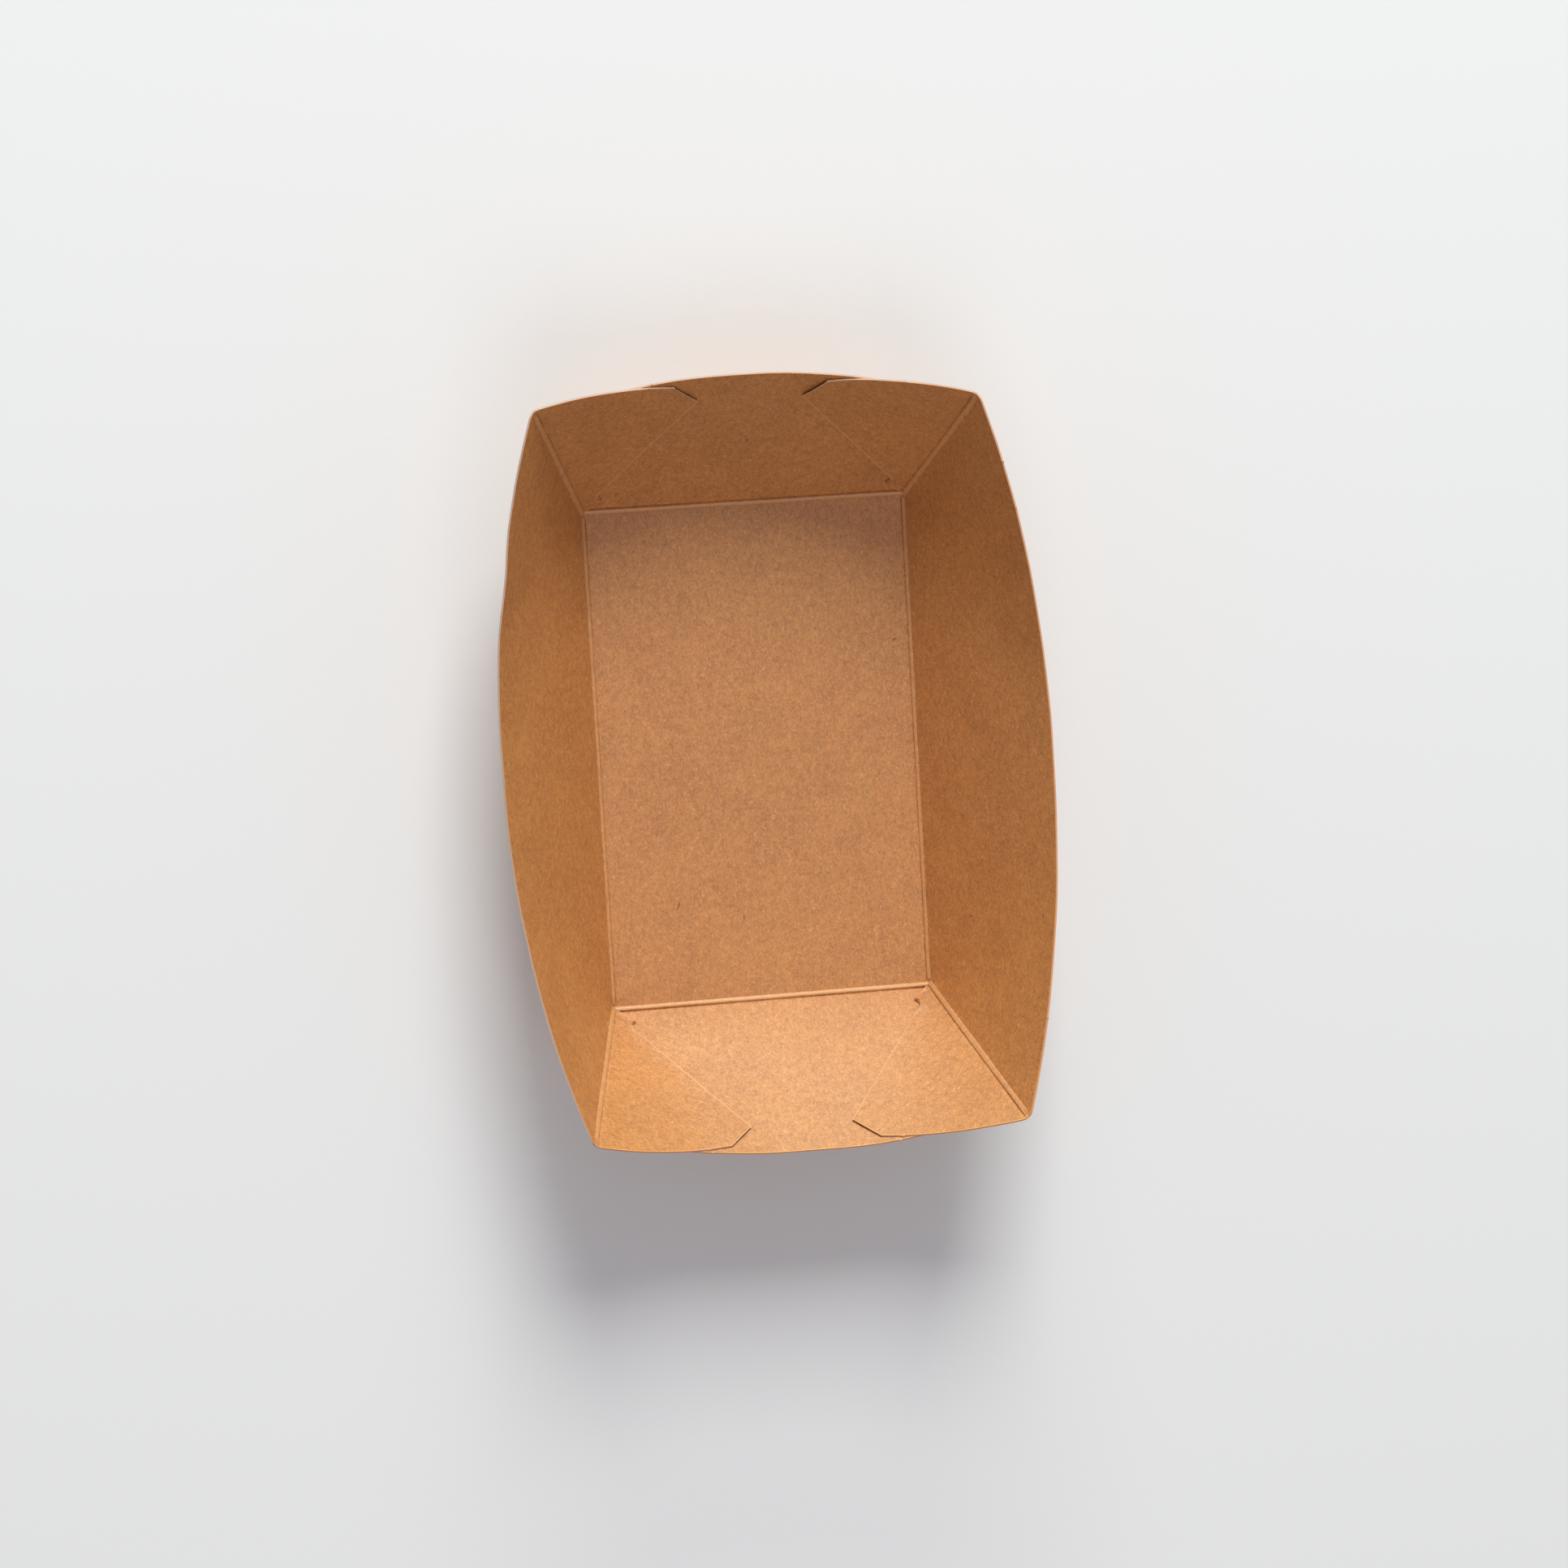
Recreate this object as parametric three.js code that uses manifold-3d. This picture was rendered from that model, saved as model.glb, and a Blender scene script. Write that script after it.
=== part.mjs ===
import * as THREE from 'three';
import Module from 'manifold-3d';
import { mergeVertices } from 'three/addons/utils/BufferGeometryUtils.js';

// A small food tray, folded and glued from one sheet of brown kraft board.
// Millimetres, +Z up, X across and Y along. The origin is the middle of the floor's underside.

// The sheet, and the floor from crease to crease
const board = 0.4;
const floorLength = 110;
const floorWidth = 71.5;

// Each rim corner, measured from the floor corner below it
const cornerRise = 43.4;
const cornerOutX = 11.3;
const cornerOutY = 22.9;

// Lean of a wall at its middle, from upright. At its corners it leans less, so it bows outwards.
const sideLean = THREE.MathUtils.degToRad(32.5);
const endLean = THREE.MathUtils.degToRad(39.5);

// Rims, measured up the slope of the wall
const sideRimDip = 1.5;
const endRimSlant = 44.6;
const endRimFall = 1.1;
const endPanelInset = 0.7;
const endPanelRound = 4;

// Corner flaps: each folds in from a side wall and is glued inside an end wall.
// The glue makes them one: a flap's solid reaches glueShare of the way into the end panel.
const flapTipGap = 32.6;
const flapNeckGap = 22.2;
const flapRimFall = 6.3;
const chamferDrop = 5.4;
const glueShare = 0.75;

// The cut between flap and end wall ends in a small round scoop near the floor corner
const scoopRadius = 1.3;
const scoopInset = 4.3;
const scoopRise = 6.3;

// Folds: rounded outside, with a raised bead inside that the creasing left
const beadRadius = 0.55;
const beadRise = 0.25;
const beadStop = 1.6;
const foldTuck = 0.02;
const edgeTuck = 0.05;

// The tray is slightly racked: opposite rim corners stand further out than the other two
const rackX = 1.6;
const rackY = 0.9;

// A thumb dent in the rim of the side wall at -X
const dentPlace = 43;
const dentHalfLength = 11;
const dentDepth = 0.65;

// Facets
const sideStrips = 32;
const endStrips = 20;
const foldSides = 10;
const curveSteps = 10;
const sheetSpare = 0.04;
const cutReach = 15;

const wasm = await Module();
wasm.setup();

const up = new THREE.Vector3(0, 0, 1);

// A wall is described where it meets the floor and at its rim corners.
// turn is the direction it faces, as an angle about Z.
function makeWall(turn, halfCrease, creaseOut, cornerAlong, cornerOut, lean) {
  return {
    turn,
    halfCrease,
    creaseOut,
    cornerAlong,
    cornerOut,
    lean,
    cornerLean: Math.atan2(cornerOut, cornerRise),
    cornerSlant: Math.hypot(cornerOut, cornerRise),
    halfRim: halfCrease + cornerAlong,
  };
}

function sideWallAt(turn) {
  return makeWall(turn, floorLength / 2, floorWidth / 2, cornerOutY, cornerOutX, sideLean);
}

function endWallAt(turn) {
  return makeWall(turn, floorWidth / 2, floorLength / 2, cornerOutX, cornerOutY, endLean);
}

// The board can only curl along straight lines, and these fan out from the two floor corners.
// Between the fans the wall is flat.
function leanAt(wall, along, slant) {
  const fromCorner = wall.halfCrease - Math.abs(along);
  const share = Math.max(slant, foldTuck) / wall.cornerSlant;
  const landing = (wall.halfCrease - fromCorner / share) / wall.halfRim;
  const towardsCorner = THREE.MathUtils.clamp(landing, 0, 1);
  return wall.cornerLean + (wall.lean - wall.cornerLean) * (1 - towardsCorner ** 2);
}

// How far the dent pushes the wall at -X inwards, fading towards the floor
function dentAt(wall, along, slant) {
  const offset = Math.min(Math.abs(along + dentPlace) / dentHalfLength, 1);
  if (wall.turn !== Math.PI) {
    return 0;
  }
  return dentDepth * (0.5 + 0.5 * Math.cos(Math.PI * offset)) * (slant / wall.cornerSlant) ** 2;
}

// A point on the inner face of a wall, before it is turned to face its side
function innerFace(wall, along, slant) {
  const lean = leanAt(wall, along, slant);
  const out = wall.creaseOut + slant * Math.sin(lean) - dentAt(wall, along, slant);
  return new THREE.Vector3(out, along, board + slant * Math.cos(lean));
}

// A point in a wall: along the crease, up the slope and outwards through the board
function wallPoint(wall, along, slant, depth) {
  const step = board / 2;
  const here = innerFace(wall, along, slant);
  const alongWall = innerFace(wall, along + step, slant).sub(innerFace(wall, along - step, slant));
  const upWall = innerFace(wall, along, slant + step).sub(here);
  const outward = alongWall.cross(upWall).normalize();
  return here.addScaledVector(outward, depth).applyAxisAngle(up, wall.turn);
}

// How far the wall reaches along its crease at this slant, out to the corner folds
function halfWidthAt(wall, slant) {
  return wall.halfCrease + wall.cornerAlong * (slant / wall.cornerSlant);
}

function mapPoints(geometry, place) {
  const points = geometry.attributes.position;
  const point = new THREE.Vector3();
  for (let i = 0; i < points.count; i += 1) {
    point.fromBufferAttribute(points, i);
    points.setXYZ(i, ...place(point).toArray());
  }
  return geometry;
}

function solidOf(geometry) {
  geometry.deleteAttribute('normal');
  geometry.deleteAttribute('uv');
  const merged = mergeVertices(geometry);
  return new wasm.Manifold(new wasm.Mesh({
    numProp: 3,
    vertProperties: Float32Array.from(merged.attributes.position.array),
    triVerts: Uint32Array.from(merged.index.array),
  }));
}

function geometryOf(solid) {
  const mesh = solid.getMesh();
  const geometry = new THREE.BufferGeometry();
  geometry.setAttribute('position', new THREE.BufferAttribute(mesh.vertProperties, 3));
  geometry.setIndex(new THREE.BufferAttribute(mesh.triVerts, 1));
  return geometry;
}

// The flat strips that a wall bends into: two fans from the floor corners and a triangle between.
// The first two points are the floor corners, and the rest run along the top.
function wallStrips(wall, strips, topSlantAt) {
  const reach = 1 - edgeTuck / wall.halfRim;
  const flat = [[-wall.halfCrease * reach, 0], [wall.halfCrease * reach, 0]];
  for (let i = 0; i <= strips; i += 1) {
    const share = reach * (2 * i / strips - 1);
    const slant = topSlantAt(share);
    flat.push([share * halfWidthAt(wall, slant), slant]);
  }
  const middle = 2 + strips / 2;
  const triangles = [[0, 1, middle]];
  for (let i = 2; i < 2 + strips; i += 1) {
    triangles.push([i < middle ? 0 : 1, i + 1, i]);
  }
  return { flat, triangles };
}

// A sheet of board on a wall, from one corner fold to the other, between two depths
function wallSheet(wall, strips, topSlantAt, fromDepth, toDepth) {
  const { flat, triangles } = wallStrips(wall, strips, topSlantAt);
  const count = flat.length;
  const place = (depth) => flat.flatMap(([a, s]) => wallPoint(wall, a, s, depth).toArray());
  const rim = [0, 1];
  for (let i = count - 1; i >= 2; i -= 1) {
    rim.push(i);
  }
  const faces = [];
  for (const [a, b, c] of triangles) {
    faces.push(a + count, b + count, c + count, c, b, a);
  }
  rim.forEach((here, i) => {
    const next = rim[(i + 1) % rim.length];
    faces.push(here, next, next + count, here, next + count, here + count);
  });
  const sheet = new THREE.BufferGeometry();
  const points = [...place(fromDepth), ...place(toDepth)];
  sheet.setAttribute('position', new THREE.Float32BufferAttribute(points, 3));
  sheet.setIndex(faces);
  return solidOf(sheet);
}

// A cutter with the outline of a panel. Its sides all run square to the middle of the wall.
function wallCutter(wall, outline) {
  const options = { depth: 1, bevelEnabled: false, curveSegments: curveSteps };
  const block = new THREE.ExtrudeGeometry(outline, options);
  const outward = new THREE.Vector3(Math.cos(wall.lean), 0, -Math.sin(wall.lean));
  return solidOf(mapPoints(block, (point) => {
    const depth = THREE.MathUtils.lerp(-cutReach, cutReach, point.z);
    const cut = innerFace(wall, point.x, point.y).addScaledVector(outward, depth);
    return cut.applyAxisAngle(up, wall.turn);
  }));
}

function sideWall(wall) {
  const rimSlantAt = (share) => wall.cornerSlant - sideRimDip * (1 - share * share);
  return wallSheet(wall, sideStrips, rimSlantAt, 0, board);
}

// One layer of an end wall, cut to an outline. All its layers share their strips, so they lie flush.
function endLayer(wall, outline, fromDepth, toDepth) {
  const topSlantAt = () => wall.cornerSlant * (1 + sheetSpare);
  const sheet = wallSheet(wall, endStrips, topSlantAt, fromDepth, toDepth);
  return sheet.intersect(wallCutter(wall, outline));
}

// Where the outer layer of a wall starts up the slope, so that its outside clears the ground
function footSlant(wall) {
  return board * Math.tan(wall.lean);
}

// The end panel is the outer layer of an end wall, up to just short of the corner folds
function endPanel(wall) {
  const foot = footSlant(wall);
  const cornerSlant = endRimSlant - endRimFall;
  const footHalf = halfWidthAt(wall, foot) - endPanelInset;
  const topHalf = halfWidthAt(wall, cornerSlant) - endPanelInset;
  const shoulder = cornerSlant - endPanelRound;
  const shoulderHalf = halfWidthAt(wall, shoulder) - endPanelInset;
  const outline = new THREE.Shape();
  outline.moveTo(-footHalf, foot);
  outline.lineTo(footHalf, foot);
  outline.lineTo(shoulderHalf, shoulder);
  outline.quadraticCurveTo(topHalf, cornerSlant, topHalf - endPanelRound, cornerSlant);
  outline.quadraticCurveTo(0, endRimSlant + endRimFall, endPanelRound - topHalf, cornerSlant);
  outline.quadraticCurveTo(-topHalf, cornerSlant, -shoulderHalf, shoulder);
  return endLayer(wall, outline, board, 2 * board);
}

// side is 1 or -1: which end of the end wall's crease the flap grows from
function cornerFlap(wall, side) {
  const neck = flapNeckGap / 2;
  const tip = flapTipGap / 2;
  const tipSlant = wall.cornerSlant - flapRimFall;
  const rimSlope = flapRimFall / (wall.halfRim - tip);
  const scoopAlong = wall.halfCrease - scoopInset;
  const past = wall.halfRim + board;
  const outline = new THREE.Shape();
  outline.moveTo(side * past, footSlant(wall));
  outline.lineTo(side * wall.halfCrease, footSlant(wall));
  outline.lineTo(side * scoopAlong, scoopRise - scoopRadius);
  if (side > 0) {
    outline.absarc(scoopAlong, scoopRise, scoopRadius, -Math.PI / 2, Math.PI / 2, false);
  } else {
    outline.absarc(-scoopAlong, scoopRise, scoopRadius, -Math.PI / 2, Math.PI / 2, true);
  }
  outline.lineTo(side * neck, tipSlant - chamferDrop);
  outline.lineTo(side * tip, tipSlant);
  outline.lineTo(side * past, wall.cornerSlant + rimSlope * board);
  return endLayer(wall, outline, 0, board * (1 + glueShare));
}

function rod(from, to, radius) {
  const run = new THREE.Vector3().subVectors(to, from);
  const bar = new THREE.CylinderGeometry(radius, radius, run.length(), foldSides);
  const turn = new THREE.Quaternion().setFromUnitVectors(new THREE.Vector3(0, 1, 0), run.normalize());
  bar.applyQuaternion(turn);
  bar.translate((from.x + to.x) / 2, (from.y + to.y) / 2, (from.z + to.z) / 2);
  return solidOf(bar);
}

// The rounded outside of a fold, joined with the bead on its inside.
// The bead stops short of both ends of the fold.
function fold(from, to, inward, shortBy) {
  const run = new THREE.Vector3().subVectors(to, from).normalize();
  const shift = inward.clone().addScaledVector(run, -inward.dot(run)).setLength(beadRise);
  const beadFrom = from.clone().add(shift).addScaledVector(run, shortBy);
  const beadTo = to.clone().add(shift).addScaledVector(run, -shortBy);
  return rod(from, to, board - foldTuck).add(rod(beadFrom, beadTo, beadRadius));
}

function floorFold(wall, out, shortBy) {
  const from = new THREE.Vector3(out, -wall.halfCrease, board).applyAxisAngle(up, wall.turn);
  const to = new THREE.Vector3(out, wall.halfCrease, board).applyAxisAngle(up, wall.turn);
  const inward = new THREE.Vector3(-1, 0, 1).applyAxisAngle(up, wall.turn);
  return fold(from, to, inward, shortBy);
}

function cornerFold(signX, signY) {
  const foot = new THREE.Vector3(signX * floorWidth / 2, signY * floorLength / 2, board);
  const rise = new THREE.Vector3(signX * cornerOutX, signY * cornerOutY, cornerRise);
  rise.setLength(rise.length() - board / 2);
  const inward = new THREE.Vector3(-signX, -signY, 0);
  const knuckle = new THREE.SphereGeometry(board, foldSides, foldSides).rotateX(Math.PI / 2);
  knuckle.translate(foot.x, foot.y, foot.z);
  return fold(foot, foot.clone().add(rise), inward, board).add(solidOf(knuckle));
}

function floorPanel(endCreaseOut) {
  const slab = new THREE.BoxGeometry(floorWidth - edgeTuck, 2 * endCreaseOut - edgeTuck, board);
  slab.translate(0, 0, board / 2);
  return solidOf(slab);
}

// Shifts each point sideways in proportion to its height, towards the racked rim corners
function rack(point) {
  const height = point.z / (board + cornerRise);
  const shareX = point.x / (floorWidth / 2 + cornerOutX);
  const shareY = point.y / (floorLength / 2 + cornerOutY);
  return new THREE.Vector3(
    point.x - rackX * shareY * height,
    point.y - rackY * shareX * height,
    point.z,
  );
}

function foldedTray() {
  const sides = [sideWallAt(0), sideWallAt(Math.PI)];
  const ends = [endWallAt(Math.PI / 2), endWallAt(-Math.PI / 2)];
  const endCreaseOut = floorLength / 2 + board / Math.cos(endLean);
  let tray = floorPanel(endCreaseOut);
  for (const wall of sides) {
    tray = tray.add(sideWall(wall)).add(floorFold(wall, wall.creaseOut, 0));
  }
  for (const wall of ends) {
    tray = tray.add(endPanel(wall)).add(floorFold(wall, endCreaseOut, beadStop));
    tray = tray.add(cornerFlap(wall, 1)).add(cornerFlap(wall, -1));
  }
  for (const signX of [-1, 1]) {
    for (const signY of [-1, 1]) {
      tray = tray.add(cornerFold(signX, signY));
    }
  }
  return mapPoints(geometryOf(tray), rack);
}

const kraft = new THREE.MeshStandardMaterial({ color: '#b9834f', roughness: 0.85, metalness: 0 });
const tray = new THREE.Mesh(foldedTray(), kraft);
tray.name = 'tray';

const model = new THREE.Group();
model.add(tray);

export default model;
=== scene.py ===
# %% [markdown]
# # A folded kraft food tray
#
# The real tray is one sheet of brown kraft board, about 0.4 mm thick. It is die cut, creased and folded:
# a flat floor, four walls that lean out and bow, and four corner flaps glued inside the two end walls.
# A box with tapered sides would be quicker, but its walls would be flat and its corners too clean. So this
# lesson builds the sheet the way the folding makes it, panel by panel, from the sizes of the cut.
# The first cell loads the measured model, so that everything made here stays in its frame.

# %% Load the frame
import math
from collections import namedtuple

import bpy
import numpy as np
from mathutils import Matrix, Vector


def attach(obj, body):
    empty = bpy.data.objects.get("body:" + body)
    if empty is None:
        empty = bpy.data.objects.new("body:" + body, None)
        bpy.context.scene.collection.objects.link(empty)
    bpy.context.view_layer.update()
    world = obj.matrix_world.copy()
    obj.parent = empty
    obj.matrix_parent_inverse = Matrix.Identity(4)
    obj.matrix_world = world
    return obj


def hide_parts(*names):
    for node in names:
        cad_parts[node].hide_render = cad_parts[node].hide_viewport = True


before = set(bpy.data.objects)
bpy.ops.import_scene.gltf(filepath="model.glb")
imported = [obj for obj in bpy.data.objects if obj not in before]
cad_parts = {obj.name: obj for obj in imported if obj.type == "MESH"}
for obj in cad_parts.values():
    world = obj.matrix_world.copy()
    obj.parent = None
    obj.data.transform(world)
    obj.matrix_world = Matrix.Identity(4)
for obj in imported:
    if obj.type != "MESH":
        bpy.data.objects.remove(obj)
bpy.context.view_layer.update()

# %% [markdown]
# ## The sizes of the sheet
#
# A maker gives a folded tray by its creases, its leans and its rim, not by the finished outline.
# These are the same sizes that the measured model has, in millimetres. Lengths up a wall are slants,
# measured on the board. Lengths along a crease are measured from the middle of that crease.

# %% Sizes in millimetres
MM = 0.001
BOARD = 0.4

# The floor, and how far the rim's corners stand out and up from the floor's corners
HALF_LENGTH = 55.0
HALF_WIDTH = 35.75
CORNER_RISE = 43.4
CORNER_OUT_X = 11.3
CORNER_OUT_Y = 22.9

# How far the middles of the walls lean, and how the rim runs between its corners
SIDE_LEAN = math.radians(32.5)
END_LEAN = math.radians(39.5)
SIDE_RIM_DIP = 1.5
END_RIM_SLANT = 44.6
END_RIM_FALL = 1.1

# The flaps: the tip and the neck on the end wall, and the round scoop by the floor corner
FLAP_TIP = 16.3
FLAP_NECK = 11.1
FLAP_RIM_FALL = 6.3
CHAMFER_DROP = 5.4
SCOOP_HALF = 1.6
SCOOP_BULGE = 1.0
SCOOP_INSET = 4.3
SCOOP_RISE = 6.3

Wall = namedtuple("Wall", "turn half_crease crease_out corner_along corner_out lean")


def side_wall_at(turn):
    return Wall(turn, HALF_LENGTH, HALF_WIDTH, CORNER_OUT_Y, CORNER_OUT_X, SIDE_LEAN)


def end_wall_at(turn):
    return Wall(turn, HALF_WIDTH, HALF_LENGTH, CORNER_OUT_X, CORNER_OUT_Y, END_LEAN)


SIDES = [side_wall_at(0.0), side_wall_at(math.pi)]
ENDS = [end_wall_at(math.pi / 2), end_wall_at(-math.pi / 2)]
print("floor", 2 * HALF_WIDTH, "by", 2 * HALF_LENGTH, "mm, walls", len(SIDES) + len(ENDS))

# %% [markdown]
# ## How a wall bends
#
# Board doesn't stretch, so a wall can only curl along straight lines. Its corners are held in by the
# folds and its middle leans out further, so the lines fan out from the two floor corners with a flat
# triangle between them. A displaced or sculpted plane could look alike from above, but a formula for
# the lean keeps every straight line straight, which is what makes the shading look like board.

# %% Bend a wall
SMALLEST_SLANT = 0.02
NORMAL_STEP = 0.2


def corner_slant(wall):
    return math.hypot(wall.corner_out, CORNER_RISE)


def half_rim(wall):
    return wall.half_crease + wall.corner_along


def half_width_at(wall, slant):
    return wall.half_crease + wall.corner_along * slant / corner_slant(wall)


def lean_at(wall, along, slant):
    """The lean from upright of the straight line that passes through each point."""
    corner_lean = math.atan2(wall.corner_out, CORNER_RISE)
    share = np.maximum(slant, SMALLEST_SLANT) / corner_slant(wall)
    landing = wall.half_crease - (wall.half_crease - np.abs(along)) / share
    towards_corner = np.clip(landing / half_rim(wall), 0.0, 1.0)
    return corner_lean + (wall.lean - corner_lean) * (1.0 - towards_corner ** 2)


def bent(wall, along, slant):
    """Points on the inner face of a wall, as out, along and up."""
    lean = lean_at(wall, along, slant)
    return np.stack([wall.crease_out + slant * np.sin(lean), along, BOARD + slant * np.cos(lean)], -1)


for wall in (SIDES[0], ENDS[0]):
    rim = bent(wall, np.array([0.0, half_rim(wall)]), corner_slant(wall))
    print("a wall's rim at its middle and its corner, mm", np.round(rim, 1).tolist())

# %% [markdown]
# ## From one wall to four
#
# Each wall is worked out as if it stood on the +X side, and is then turned to its own side. The layers
# of an end wall lie at different depths, so a point also takes a depth, measured along the wall's own
# normal. Scaling a copy of the wall would be simpler, but the layers would then part at the rim.

# %% Turn a wall to its side
def turned(wall, points):
    """Turns out, along and up to the side of the tray that the wall is on."""
    cos = math.cos(wall.turn)
    sin = math.sin(wall.turn)
    out, along, rise = points[..., 0], points[..., 1], points[..., 2]
    return np.stack([out * cos - along * sin, out * sin + along * cos, rise], -1)


def wall_points(wall, along, slant, depth):
    """Points on a wall, with depth outwards through the board."""
    along, slant, depth = np.broadcast_arrays(along, slant, depth)
    here = bent(wall, along, slant)
    across = bent(wall, along + NORMAL_STEP, slant) - bent(wall, along - NORMAL_STEP, slant)
    upward = bent(wall, along, slant + NORMAL_STEP) - here
    outward = np.cross(across, upward)
    outward /= np.linalg.norm(outward, axis=-1, keepdims=True)
    return turned(wall, here + outward * depth[..., None])


for wall in SIDES + ENDS:
    middle = wall_points(wall, 0.0, corner_slant(wall), BOARD)
    print("outside of a rim's middle, mm", np.round(middle, 1).tolist())

# %% [markdown]
# ## Panels as grids that share their creases
#
# Each panel is a grid of points. Neighbours use the same stations along the crease between them, so
# their edge points coincide and can be merged into one sheet. Stations crowd towards the creases,
# where the board rolls over within a millimetre, and stay far apart on the plain faces. A Subdivision
# Surface modifier would add as many points to the plain faces as to the folds.
# The small nicks that the cutting die leaves in the rim get a few stations of their own.

# %% Stations along the creases
NEAR_FOLD = [0.0, 0.09, 0.18, 0.27, 0.36, 0.45, 0.53, 0.6, 0.66, 0.71,
             0.76, 0.81, 0.87, 0.95, 1.1, 1.4, 2.0, 3.0, 4.4]
NICK_STATIONS = [-0.5, -0.2, 0.0, 0.2, 0.5]
COARSE_STEP = 3.2
CLOSEST = 0.02

# Where each nick is: the wall, how far along its rim from the middle, and how far it stands proud
SIDE_NICKS = [(0, 63.4, 0.24), (0, 53.6, 0.12), (0, -57.0, 0.16)]
END_NICKS = [(0, -32.4, 0.18), (0, 21.9, 0.2), (1, 20.9, 0.28), (1, -21.6, 0.2)]


def stations(half, nicks, half_top):
    """Places from -half to half, close together near both ends and at the nicks."""
    inner = half - NEAR_FOLD[-1]
    steps = int(math.ceil(2 * inner / COARSE_STEP))
    places = list(np.linspace(-inner, inner, steps + 1))
    for gap in NEAR_FOLD[:-1]:
        places += [half - gap, gap - half]
    for _, at, _ in nicks:
        for shift in NICK_STATIONS:
            place = (at + shift) * half / half_top
            places += [place, -place]
    places = np.unique(np.round(places, 5))
    kept = [places[0]]
    for place in places[1:]:
        if place - kept[-1] > CLOSEST:
            kept.append(place)
    return np.array(kept)


side_shares = stations(HALF_LENGTH, SIDE_NICKS, half_rim(SIDES[0])) / HALF_LENGTH
end_shares = stations(HALF_WIDTH, END_NICKS, half_rim(ENDS[0])) / HALF_WIDTH
for shares in (side_shares, end_shares):
    shares[0] = -1.0
    shares[-1] = 1.0
print("stations along a side", len(side_shares), "and along an end", len(end_shares))

# %% [markdown]
# ## Rows up the walls
#
# All four walls and the flaps use the same rows, as shares of their height. Rows crowd wherever the shape
# changes: at the crease, at the scoop of the flaps, and in the last quarter of a millimetre below the
# rim, where the pale line painted along the cut edge, rubbed fibres with a painted highlight, has to
# end. Even rows would need several times as many points.

# %% Rows up a wall
LAST_CREASE_ROW = 4.0
SCOOP_ROWS = 15
BESIDE_SCOOP = [-2.1, 2.1, 2.8]
PLAIN_ROWS = 19
PLAIN_ROWS_FROM = 0.26
ROW_BELOW_RIM = 0.9945


def neck_slant(wall):
    return corner_slant(wall) - FLAP_RIM_FALL - CHAMFER_DROP


def climb_stations():
    """Shares of the way up a wall, close together at the crease and at the scoops of the flaps."""
    low = np.array(NEAR_FOLD[:-1] + [LAST_CREASE_ROW]) / corner_slant(ENDS[0])
    arc = SCOOP_RISE + SCOOP_HALF * np.sin(np.linspace(-math.pi / 2, math.pi / 2, SCOOP_ROWS))
    beside = [SCOOP_RISE + offset for offset in BESIDE_SCOOP]
    scoop = np.concatenate([arc, beside]) / neck_slant(ENDS[0])
    plain_rows = np.linspace(PLAIN_ROWS_FROM, 1.0, PLAIN_ROWS)
    return np.unique(np.concatenate([low, scoop, plain_rows, [ROW_BELOW_RIM]]))


climb = climb_stations()
climb[-1] = 1.0
print("rows up a wall", len(climb))

# %% [markdown]
# ## The crease beads and the rounded folds
#
# Creasing presses a groove into the outside of the board, and the fold then pushes a small bead out
# on the inside. A bump texture can't show it, because the bead casts a thin shadow and catches the light.
# So every point near a fold moves towards the inside: a little to round the fold, and a bit more for the
# bead. On one side of the bead the board is pinched, which draws a thin dark line. The same rule runs on
# every panel that meets the fold, so the panels still match.

# %% The profile of a fold
Profile = namedtuple("Profile", "round bead_half bead_high groove groove_half")
SIDE_PROFILE = Profile(round=0.5, bead_half=0.52, bead_high=0.24, groove=0.25, groove_half=0.13)
END_PROFILE = Profile(round=0.5, bead_half=0.66, bead_high=0.54, groove=0.37, groove_half=0.16)
CORNER_PROFILE = Profile(round=0.9, bead_half=0.72, bead_high=0.3, groove=0.36, groove_half=0.18)
Fold = namedtuple("Fold", "start end inward opening profile groove_way fade seed")

FADE_RUN = 0.8
BEAD_FULLNESS = 0.62
BEAD_UNEVEN = 0.4
BEAD_WAVER = 0.06
WAVER_SEED = 3.0
GROOVE_RUN = 9.0
ON_THE_FOLD = 0.02
# How much paler a bead's crest is painted for its height: partly rubbed fibres, partly a painted highlight
RUB_AND_HIGHLIGHT_BY_HEIGHT = 1.0

# The bead's unevenness is a sum of waves, each with a size and a rate along the fold
WOBBLES = [(0.55, 0.21), (0.3, 0.83), (0.15, 2.9)]


def wobble(place, seed):
    """A smooth, repeatable unevenness between about -1 and 1."""
    total = np.zeros_like(place)
    for k, (size, rate) in enumerate(WOBBLES):
        total += size * np.sin(place * rate + seed * (1.7 + 2.3 * k))
    return total


def beside_fold(fold, points):
    """How far along the fold each point is, how far beside it, and how far inside the faded ends."""
    run = fold.end - fold.start
    length = np.linalg.norm(run)
    run = run / length
    place = np.clip((points - fold.start) @ run, 0.0, length)
    gap = np.linalg.norm(points - (fold.start + place[..., None] * run), axis=-1)
    inside = np.minimum(place - fold.fade[0], length - place - fold.fade[1])
    return place, gap, inside


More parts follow.
